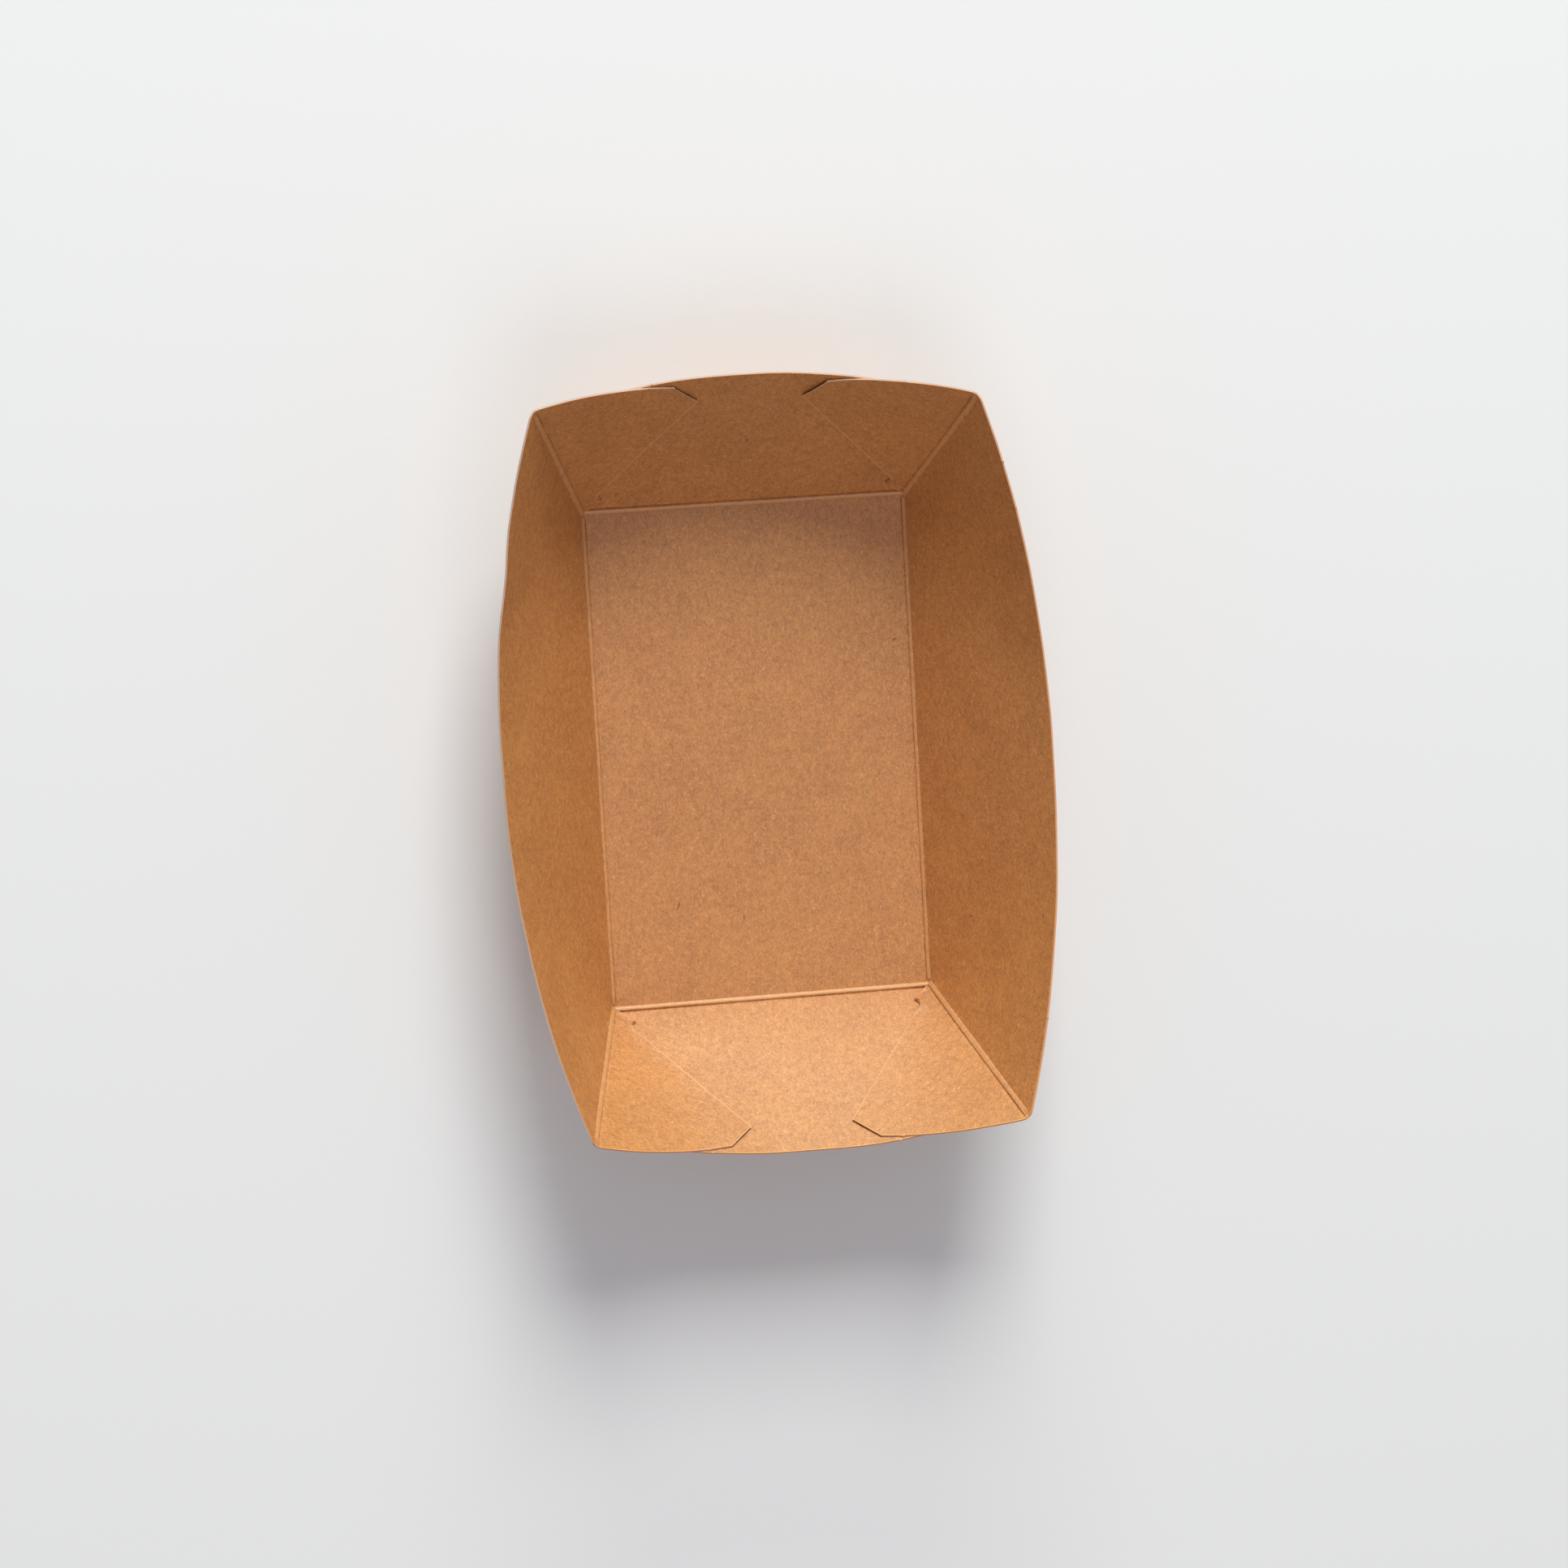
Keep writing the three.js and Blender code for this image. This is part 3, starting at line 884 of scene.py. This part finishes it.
flat = np.array(sheet.flat)
fibre = tray_mesh.attributes.new("sheet_place", "FLOAT_VECTOR", "POINT")
fibre.data.foreach_set("vector", np.concatenate([flat, flat + [0.0, 0.0, OUTER_LAYER]]).ravel())
rub_and_highlight_per_point = np.array(sheet.rub_and_highlight)
rub_and_highlight_per_point[[v for edge in rim_edges for v in edge]] = EDGE_RUB_AND_HIGHLIGHT
rub_and_highlight = tray_mesh.attributes.new("rub_and_highlight", "FLOAT", "POINT")
rub_and_highlight.data.foreach_set("value", np.concatenate([rub_and_highlight_per_point, np.zeros(count)]))
print("points with some scuff", int((rub_and_highlight_per_point > 0.0).sum()), "of", count)

# %% [markdown]
# ## Short ways to add nodes
#
# A finish here is a chain of noises, sums and blends. Wiring them in the node editor teaches the same
# thing, but a small class keeps the recipe readable: each line below makes one node and hands its
# output to the next.

# %% Finish helper
class Finish:
    """A material, with short ways to add the nodes that it needs."""

    def __init__(self, name):
        self.material = bpy.data.materials.new(name)
        self.material.use_nodes = True
        self.nodes = self.material.node_tree.nodes
        self.links = self.material.node_tree.links
        self.shader = self.nodes["Principled BSDF"]

    def feed(self, socket, value):
        """Links another node's output to a socket, or sets a plain value on it."""
        if isinstance(value, bpy.types.NodeSocket):
            self.links.new(value, socket)
        else:
            socket.default_value = value

    def attribute(self, name):
        node = self.nodes.new("ShaderNodeAttribute")
        node.attribute_name = name
        return node

    def noise(self, place, scale, detail, rough=0.6, distort=0.0):
        node = self.nodes.new("ShaderNodeTexNoise")
        self.feed(node.inputs["Vector"], place)
        self.feed(node.inputs["Scale"], scale)
        self.feed(node.inputs["Detail"], detail)
        self.feed(node.inputs["Roughness"], rough)
        self.feed(node.inputs["Distortion"], distort)
        return node.outputs["Fac"]

    def remap(self, value, low, high, to_low, to_high):
        """Brings low to high over to to_low to to_high, and stops at both ends."""
        node = self.nodes.new("ShaderNodeMapRange")
        self.feed(node.inputs["Value"], value)
        self.feed(node.inputs["From Min"], low)
        self.feed(node.inputs["From Max"], high)
        self.feed(node.inputs["To Min"], to_low)
        self.feed(node.inputs["To Max"], to_high)
        return node.outputs["Result"]

    def arithmetic(self, kind, a, b=0.0):
        node = self.nodes.new("ShaderNodeMath")
        node.operation = kind
        self.feed(node.inputs[0], a)
        self.feed(node.inputs[1], b)
        return node.outputs[0]

    def blend(self, share, first, second):
        """Mixes two colours. The node has sockets for other kinds too, which are switched off."""
        node = self.nodes.new("ShaderNodeMix")
        node.data_type = "RGBA"
        sockets = {socket.name: socket for socket in node.inputs if socket.enabled}
        self.feed(sockets["Factor"], share)
        self.feed(sockets["A"], first)
        self.feed(sockets["B"], second)
        return [socket for socket in node.outputs if socket.enabled][0]


print("finish helper ready, materials so far", len(bpy.data.materials))

# %% [markdown]
# ## Fibres, curls and flecks
#
# Kraft board is unbleached pulp, with darker and paler fibres that all lie roughly one way in the sheet,
# and a few specks of bark. A photo texture would do, but noise that is stretched along the fibres works
# at any size. It reads the flat sheet's own coordinates, so the fibres turn with each fold.

# %% Patterns of the pulp
# Noise repeats itself about its own zero, so the sheet is moved well away from there
AWAY_FROM_ZERO = (213.7, 171.3, 57.9)

# Larger flecks of bark: middle on the flat sheet, half length, half width and turn
BARK_FLECKS = [((-19.9, -33.4), 1.0, 0.16, 1.2),
               ((32.1, 22.9), 0.5, 0.2, 0.3),
               ((50.4, -38.5), 0.35, 0.3, 0.0)]


def fibre_coordinates(finish, stretch):
    """The flat sheet's coordinates in millimetres, squeezed along the fibres."""
    squeeze = finish.nodes.new("ShaderNodeVectorMath")
    squeeze.operation = "MULTIPLY_ADD"
    finish.feed(squeeze.inputs[0], finish.attribute("sheet_place").outputs["Vector"])
    finish.feed(squeeze.inputs[1], (1.0, 1.0 / stretch, 1.0))
    finish.feed(squeeze.inputs[2], AWAY_FROM_ZERO)
    return squeeze.outputs["Vector"]


def curly_lines(finish, place, scale, width, strength):
    """Thin curly lines, where a noise passes through its middle value, broken up by another noise."""
    field = finish.noise(place, scale, detail=1.0, rough=0.5, distort=0.9)
    off_line = finish.arithmetic("ABSOLUTE", finish.arithmetic("SUBTRACT", field, 0.5))
    line = finish.remap(off_line, 0.0, width, strength, 0.0)
    patch = finish.noise(place, scale * 0.71, detail=1.0)
    return finish.arithmetic("MULTIPLY", line, finish.remap(patch, 0.42, 0.56, 0.0, 1.0))


def bark_specks(finish):
    """Small specks, at the middles of a few wide cells that are drawn out along the fibres."""
    cells = finish.nodes.new("ShaderNodeTexVoronoi")
    finish.feed(cells.inputs["Scale"], 0.07)
    finish.feed(cells.inputs["Vector"], fibre_coordinates(finish, 2.6))
    return finish.remap(cells.outputs["Distance"], 0.008, 0.02, 0.8, 0.0)


def bark_fleck(finish, middle, half_long, half_wide, turn):
    """Strong where a small oval fleck is, and zero around it."""
    oval = finish.nodes.new("ShaderNodeMapping")
    oval.vector_type = "TEXTURE"
    finish.feed(oval.inputs["Location"], (middle[0], middle[1], 0.0))
    finish.feed(oval.inputs["Rotation"], (0.0, 0.0, turn))
    finish.feed(oval.inputs["Scale"], (half_long, half_wide, 1.0))
    finish.feed(oval.inputs["Vector"], finish.attribute("sheet_place").outputs["Vector"])
    gap = finish.nodes.new("ShaderNodeVectorMath")
    gap.operation = "LENGTH"
    finish.feed(gap.inputs[0], oval.outputs["Vector"])
    return finish.remap(gap.outputs["Value"], 0.7, 1.3, 0.75, 0.0)


print("bark flecks", len(BARK_FLECKS))

# %% [markdown]
# ## Kraft board
#
# The board is a warm brown with a slight satin gloss, because its faces are pressed smooth. The mottle is
# about a millimetre across and the grain is finer. Both also drive the bump, so that light and shade
# follow the same fibres as the colour. Along the beads of the folds and the cut edges the board is
# painted paler: partly rubbed fibres, partly a painted highlight.

# %% Kraft board finish
KRAFT_DARK = (0.33, 0.120, 0.029, 1.0)
KRAFT_PALE = (0.70, 0.305, 0.090, 1.0)
BARK = (0.09, 0.038, 0.018, 1.0)
PALE_FIBRE = (0.86, 0.50, 0.24, 1.0)
# The pale colour painted for rubbed fibres and as a painted highlight on bead crests and cut edges
RUB_AND_HIGHLIGHT_COLOUR = (0.80, 0.47, 0.24, 1.0)
RUB_AND_HIGHLIGHT_STRENGTH = 0.85
BOARD_GLOSS = 0.9
RELIEF_STRENGTH = 0.5
RELIEF_METRES = 0.00008


def kraft_colour(finish, across, drawn, mottle, grain, pale):
    cloud = finish.noise(across, scale=0.1, detail=3.0)
    mottled = finish.remap(mottle, 0.3, 0.7, 0.01, 0.49)
    grained = finish.remap(grain, 0.3, 0.7, -0.17, 0.59)
    clouded = finish.remap(cloud, 0.35, 0.65, -0.02, 0.1)
    total = finish.arithmetic("ADD", finish.arithmetic("ADD", mottled, grained), clouded)
    colour = finish.blend(total, KRAFT_DARK, KRAFT_PALE)
    colour = finish.blend(pale, colour, PALE_FIBRE)
    dark = curly_lines(finish, across, scale=0.62, width=0.012, strength=0.32)
    colour = finish.blend(dark, colour, BARK)
    colour = finish.blend(bark_specks(finish), colour, BARK)
    for fleck in BARK_FLECKS:
        colour = finish.blend(bark_fleck(finish, *fleck), colour, BARK)
    # Paler where the board is rubbed, and as a painted highlight on bead crests and along cut edges
    rub_and_highlight_share = finish.attribute("rub_and_highlight").outputs["Fac"]
    return finish.blend(finish.remap(rub_and_highlight_share, 0.0, 1.0, 0.0, RUB_AND_HIGHLIGHT_STRENGTH), colour, RUB_AND_HIGHLIGHT_COLOUR)


def kraft_board():
    finish = Finish("kraft_board")
    across = fibre_coordinates(finish, 1.0)
    drawn = fibre_coordinates(finish, 1.5)
    mottle = finish.noise(drawn, scale=0.85, detail=6.0, rough=0.72, distort=0.3)
    grain = finish.noise(drawn, scale=2.3, detail=4.0, rough=0.75, distort=0.3)
    pale = curly_lines(finish, drawn, scale=1.3, width=0.026, strength=0.46)
    colour = kraft_colour(finish, across, drawn, mottle, grain, pale)
    relief = finish.arithmetic("ADD", finish.arithmetic("MULTIPLY", mottle, 1.2), grain)
    bump = finish.nodes.new("ShaderNodeBump")
    finish.feed(bump.inputs["Strength"], RELIEF_STRENGTH)
    finish.feed(bump.inputs["Distance"], RELIEF_METRES)
    finish.feed(bump.inputs["Height"], finish.arithmetic("ADD", relief, pale))
    finish.feed(finish.shader.inputs["Base Color"], colour)
    finish.feed(finish.shader.inputs["Roughness"], finish.remap(mottle, 0.3, 0.7, 0.58, 0.46))
    finish.feed(finish.shader.inputs["Specular IOR Level"], BOARD_GLOSS)
    finish.feed(finish.shader.inputs["Normal"], bump.outputs["Normal"])
    return finish.material


tray_mesh.materials.append(kraft_board())
print("nodes in the kraft board", len(tray_mesh.materials[0].node_tree.nodes))

# %% [markdown]
# ## The cut edge
#
# The die leaves a pale, fibrous edge without the pressed skin of the faces, so it is rougher and hardly
# glossy. One material with a mask could hold both finishes, but two are easier to follow. Then the mesh
# rides on the root body as the tray and takes the place of the measured model, which is hidden.

# %% Cut edge finish
EDGE_DARK = (0.48, 0.26, 0.16, 1.0)
EDGE_PALE = (0.68, 0.42, 0.29, 1.0)
EDGE_ROUGHNESS = 0.8
EDGE_GLOSS = 0.2


def cut_edge():
    finish = Finish("cut_edge")
    fuzz = finish.noise(fibre_coordinates(finish, 1.0), scale=2.6, detail=3.0)
    colour = finish.blend(finish.remap(fuzz, 0.3, 0.7, 0.0, 1.0), EDGE_DARK, EDGE_PALE)
    finish.feed(finish.shader.inputs["Base Color"], colour)
    finish.feed(finish.shader.inputs["Roughness"], EDGE_ROUGHNESS)
    finish.feed(finish.shader.inputs["Specular IOR Level"], EDGE_GLOSS)
    return finish.material


tray_mesh.materials.append(cut_edge())
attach(tray, "root")
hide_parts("tray")
print("materials", [m.name for m in tray_mesh.materials])

# %% [markdown]
# ## A plain pale stage
#
# The tray stands on a large sheet of pale paper, as it would for a catalogue picture. A curved backdrop
# isn't needed, because the camera looks down and sees only the sheet.

# %% Stage
STAGE_HALF = 3.0
PAPER = (0.79, 0.79, 0.82, 1.0)
PAPER_ROUGHNESS = 0.9
PAPER_GLOSS = 0.1


def stage_floor():
    corners = [(-STAGE_HALF, -STAGE_HALF, 0.0), (STAGE_HALF, -STAGE_HALF, 0.0),
               (STAGE_HALF, STAGE_HALF, 0.0), (-STAGE_HALF, STAGE_HALF, 0.0)]
    mesh = bpy.data.meshes.new("stage_floor")
    mesh.from_pydata(corners, [], [(0, 1, 2, 3)])
    floor = bpy.data.objects.new("stage_floor", mesh)
    bpy.context.scene.collection.objects.link(floor)
    finish = Finish("stage_paper")
    finish.feed(finish.shader.inputs["Base Color"], PAPER)
    finish.feed(finish.shader.inputs["Roughness"], PAPER_ROUGHNESS)
    finish.feed(finish.shader.inputs["Specular IOR Level"], PAPER_GLOSS)
    mesh.materials.append(finish.material)
    return floor


floor = stage_floor()
print("stage", 2 * STAGE_HALF, "metres wide")

# %% [markdown]
# ## The light
#
# Two soft boxes beyond the far end light the near end wall and leave the far one in shade, one high and
# one low. A weak reflector above the near end and an even fill open up the shadows. One sun lamp would be
# simpler, but its shadow would be hard, and here the floor darkens slowly towards the far end.

# %% Lights
TRAY_MIDDLE = (0.0, 0.0, 0.02)
FILL_COLOUR = (0.94, 0.93, 0.97, 1.0)
FILL_STRENGTH = 0.33


def soft_box(name, place, size, power, colour):
    """A rectangular lamp that looks at the tray."""
    lamp = bpy.data.lights.new(name, "AREA")
    lamp.shape = "RECTANGLE"
    lamp.size = size[0]
    lamp.size_y = size[1]
    lamp.energy = power
    lamp.color = colour
    holder = bpy.data.objects.new(name, lamp)
    holder.location = place
    holder.rotation_euler = (Vector(TRAY_MIDDLE) - Vector(place)).to_track_quat("-Z", "Y").to_euler()
    bpy.context.scene.collection.objects.link(holder)


soft_box("key_light", place=(0.24, 2.05, 1.58), size=(1.0, 1.0), power=56.0, colour=(1.0, 1.01, 0.95))
soft_box("low_light", place=(0.1, 2.5, 0.69), size=(1.0, 0.5), power=26.0, colour=(0.98, 1.1, 0.96))
soft_box("reflector", place=(0.0, -1.3, 2.25), size=(1.4, 1.4), power=11.5, colour=(1.0, 0.96, 0.93))
world = bpy.data.worlds.new("fill_light")
bpy.context.scene.world = world
world.use_nodes = True
world.node_tree.nodes["Background"].inputs["Color"].default_value = FILL_COLOUR
world.node_tree.nodes["Background"].inputs["Strength"].default_value = FILL_STRENGTH
bpy.context.scene.view_settings.view_transform = "Standard"

# %% [markdown]
# ## The camera
#
# The picture looks almost straight down, from above the far end of the tray and to its left. The
# angles and the distance come from fitting the floor corners and the rim to their places in the picture.
# Placing a camera by eye gets close, but the fit also settles how much the walls seem to lean.

# %% Camera
FOCAL_PIXELS = 4706.0
FRAME_PIXELS = 1932.0
SENSOR = 36.0
NEAREST = 0.01
TILT_X = 0.10887
TILT_Y = 0.14383
SPIN = 0.06583
FLOOR_FROM_CAMERA = (-5.783, 7.278, -850.0)


def add_camera():
    tilt = Vector((TILT_X, TILT_Y, 0.0))
    turn = Matrix.Rotation(tilt.length, 3, tilt.normalized()) @ Matrix.Rotation(SPIN, 3, "Z")
    back = turn.transposed()
    place = -(back @ Vector(FLOOR_FROM_CAMERA)) + Vector((0.0, 0.0, BOARD))
    data = bpy.data.cameras.new("camera")
    data.sensor_width = SENSOR
    data.lens = FOCAL_PIXELS / FRAME_PIXELS * SENSOR
    data.clip_start = NEAREST
    camera = bpy.data.objects.new("camera", data)
    camera.matrix_world = Matrix.Translation(place * MM) @ back.to_4x4()
    bpy.context.scene.collection.objects.link(camera)
    bpy.context.scene.camera = camera
    return camera


camera = add_camera()
print("camera at", [round(v, 4) for v in camera.matrix_world.translation])
print("lens in mm", round(camera.data.lens, 2))

# %% [markdown]
# ## Update the view layer
#
# The view layer is brought up to date after the last objects were added.

# %% Finish
bpy.context.view_layer.update()
